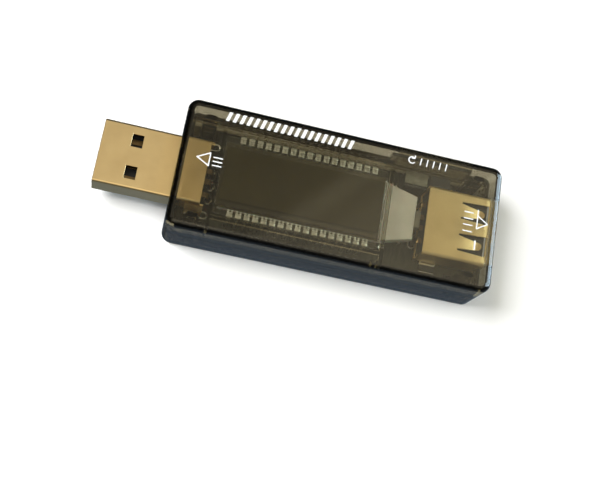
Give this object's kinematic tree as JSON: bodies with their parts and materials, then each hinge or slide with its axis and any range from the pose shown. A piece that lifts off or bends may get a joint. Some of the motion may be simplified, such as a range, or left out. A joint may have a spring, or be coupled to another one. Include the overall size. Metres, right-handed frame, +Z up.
{
  "type": "usb power meter",
  "caption": "Inline USB power meter: standard-A plug and socket at the ends of a smoky translucent case with a pin-mounted display and a side reset key.",
  "frame": {"origin": "under the middle of the whole object, on the plane that its case rests on", "axes": "+X from the plug towards the socket, +Y towards the side with the reset key, +Z up out of the display face"},
  "size_m": [0.0724, 0.024, 0.0116],
  "materials": {
    "smoky_case": "glossy smoke-brown translucent polycarbonate",
    "gold_plate": "satin gold flash plating",
    "tin_plate": "bright tin plating",
    "black_plastic": "matt black moulding",
    "white_plastic": "matt white moulding",
    "board_laminate": "black solder mask on glass laminate",
    "display_glass": "clear display glass",
    "polarizer_film": "dark olive satin film",
    "light_guide": "milky diffusing acrylic",
    "led_body": "dull grey-olive moulded body",
    "chip_black": "matt black epoxy with tinned ends",
    "ceramic_tan": "tan ceramic with tinned ends",
    "white_print": "white pad print"
  },
  "bodies": {
    "case": {"top_cover": "smoky_case", "bottom_cover": "smoky_case", "circuit_board": "board_laminate", "plug_shell": "gold_plate", "plug_insulator": "black_plastic", "plug_contact_vbus": "gold_plate", "plug_contact_dminus": "gold_plate", "plug_contact_dplus": "gold_plate", "plug_contact_ground": "gold_plate", "socket_shell": "gold_plate", "socket_insulator": "black_plastic", "socket_contact_vbus": "gold_plate", "socket_contact_dminus": "gold_plate", "socket_contact_dplus": "gold_plate", "socket_contact_ground": "gold_plate", "lcd_front_glass": "display_glass", "lcd_rear_glass": "display_glass", "lcd_front_polarizer": "polarizer_film", "lcd_rear_polarizer": "polarizer_film", "lcd_pin_row_far": "tin_plate", "lcd_pin_row_near": "tin_plate", "backlight_diffuser": "light_guide", "backlight_reflector": "white_plastic", "backlight_led": "led_body", "switch_housing": "black_plastic", "switch_dome": "tin_plate", "switch_cover_plate": "tin_plate", "controller_chip": "chip_black", "memory_chip": "chip_black", "amplifier_chip": "chip_black", "voltage_regulator": "chip_black", "shunt_resistor": "chip_black", "output_capacitor": "chip_black", "input_capacitor": "ceramic_tan", "filter_capacitor_1": "ceramic_tan", "filter_capacitor_2": "ceramic_tan", "divider_resistor_upper": "chip_black", "divider_resistor_lower": "chip_black", "backlight_resistor": "chip_black", "reset_pullup_resistor": "chip_black"},
    "reset_key": {"reset_button": "smoky_case"},
    "plunger": {"switch_plunger": "black_plastic"}
  },
  "joints": [
    {"name": "reset_press", "type": "slide", "parent": "case", "child": "reset_key", "axis": [0, -1, 0], "range_m": [0, 0.00035], "stiffness_N_per_m": 800, "springref_m": -0.0003},
    {"name": "plunger_press", "type": "slide", "parent": "case", "child": "plunger", "axis": [0, -1, 0], "range_m": [0, 0.00035]}
  ],
  "couplings": [
    {"joint": "plunger_press", "follows": "reset_press", "ratio": 1}
  ]
}
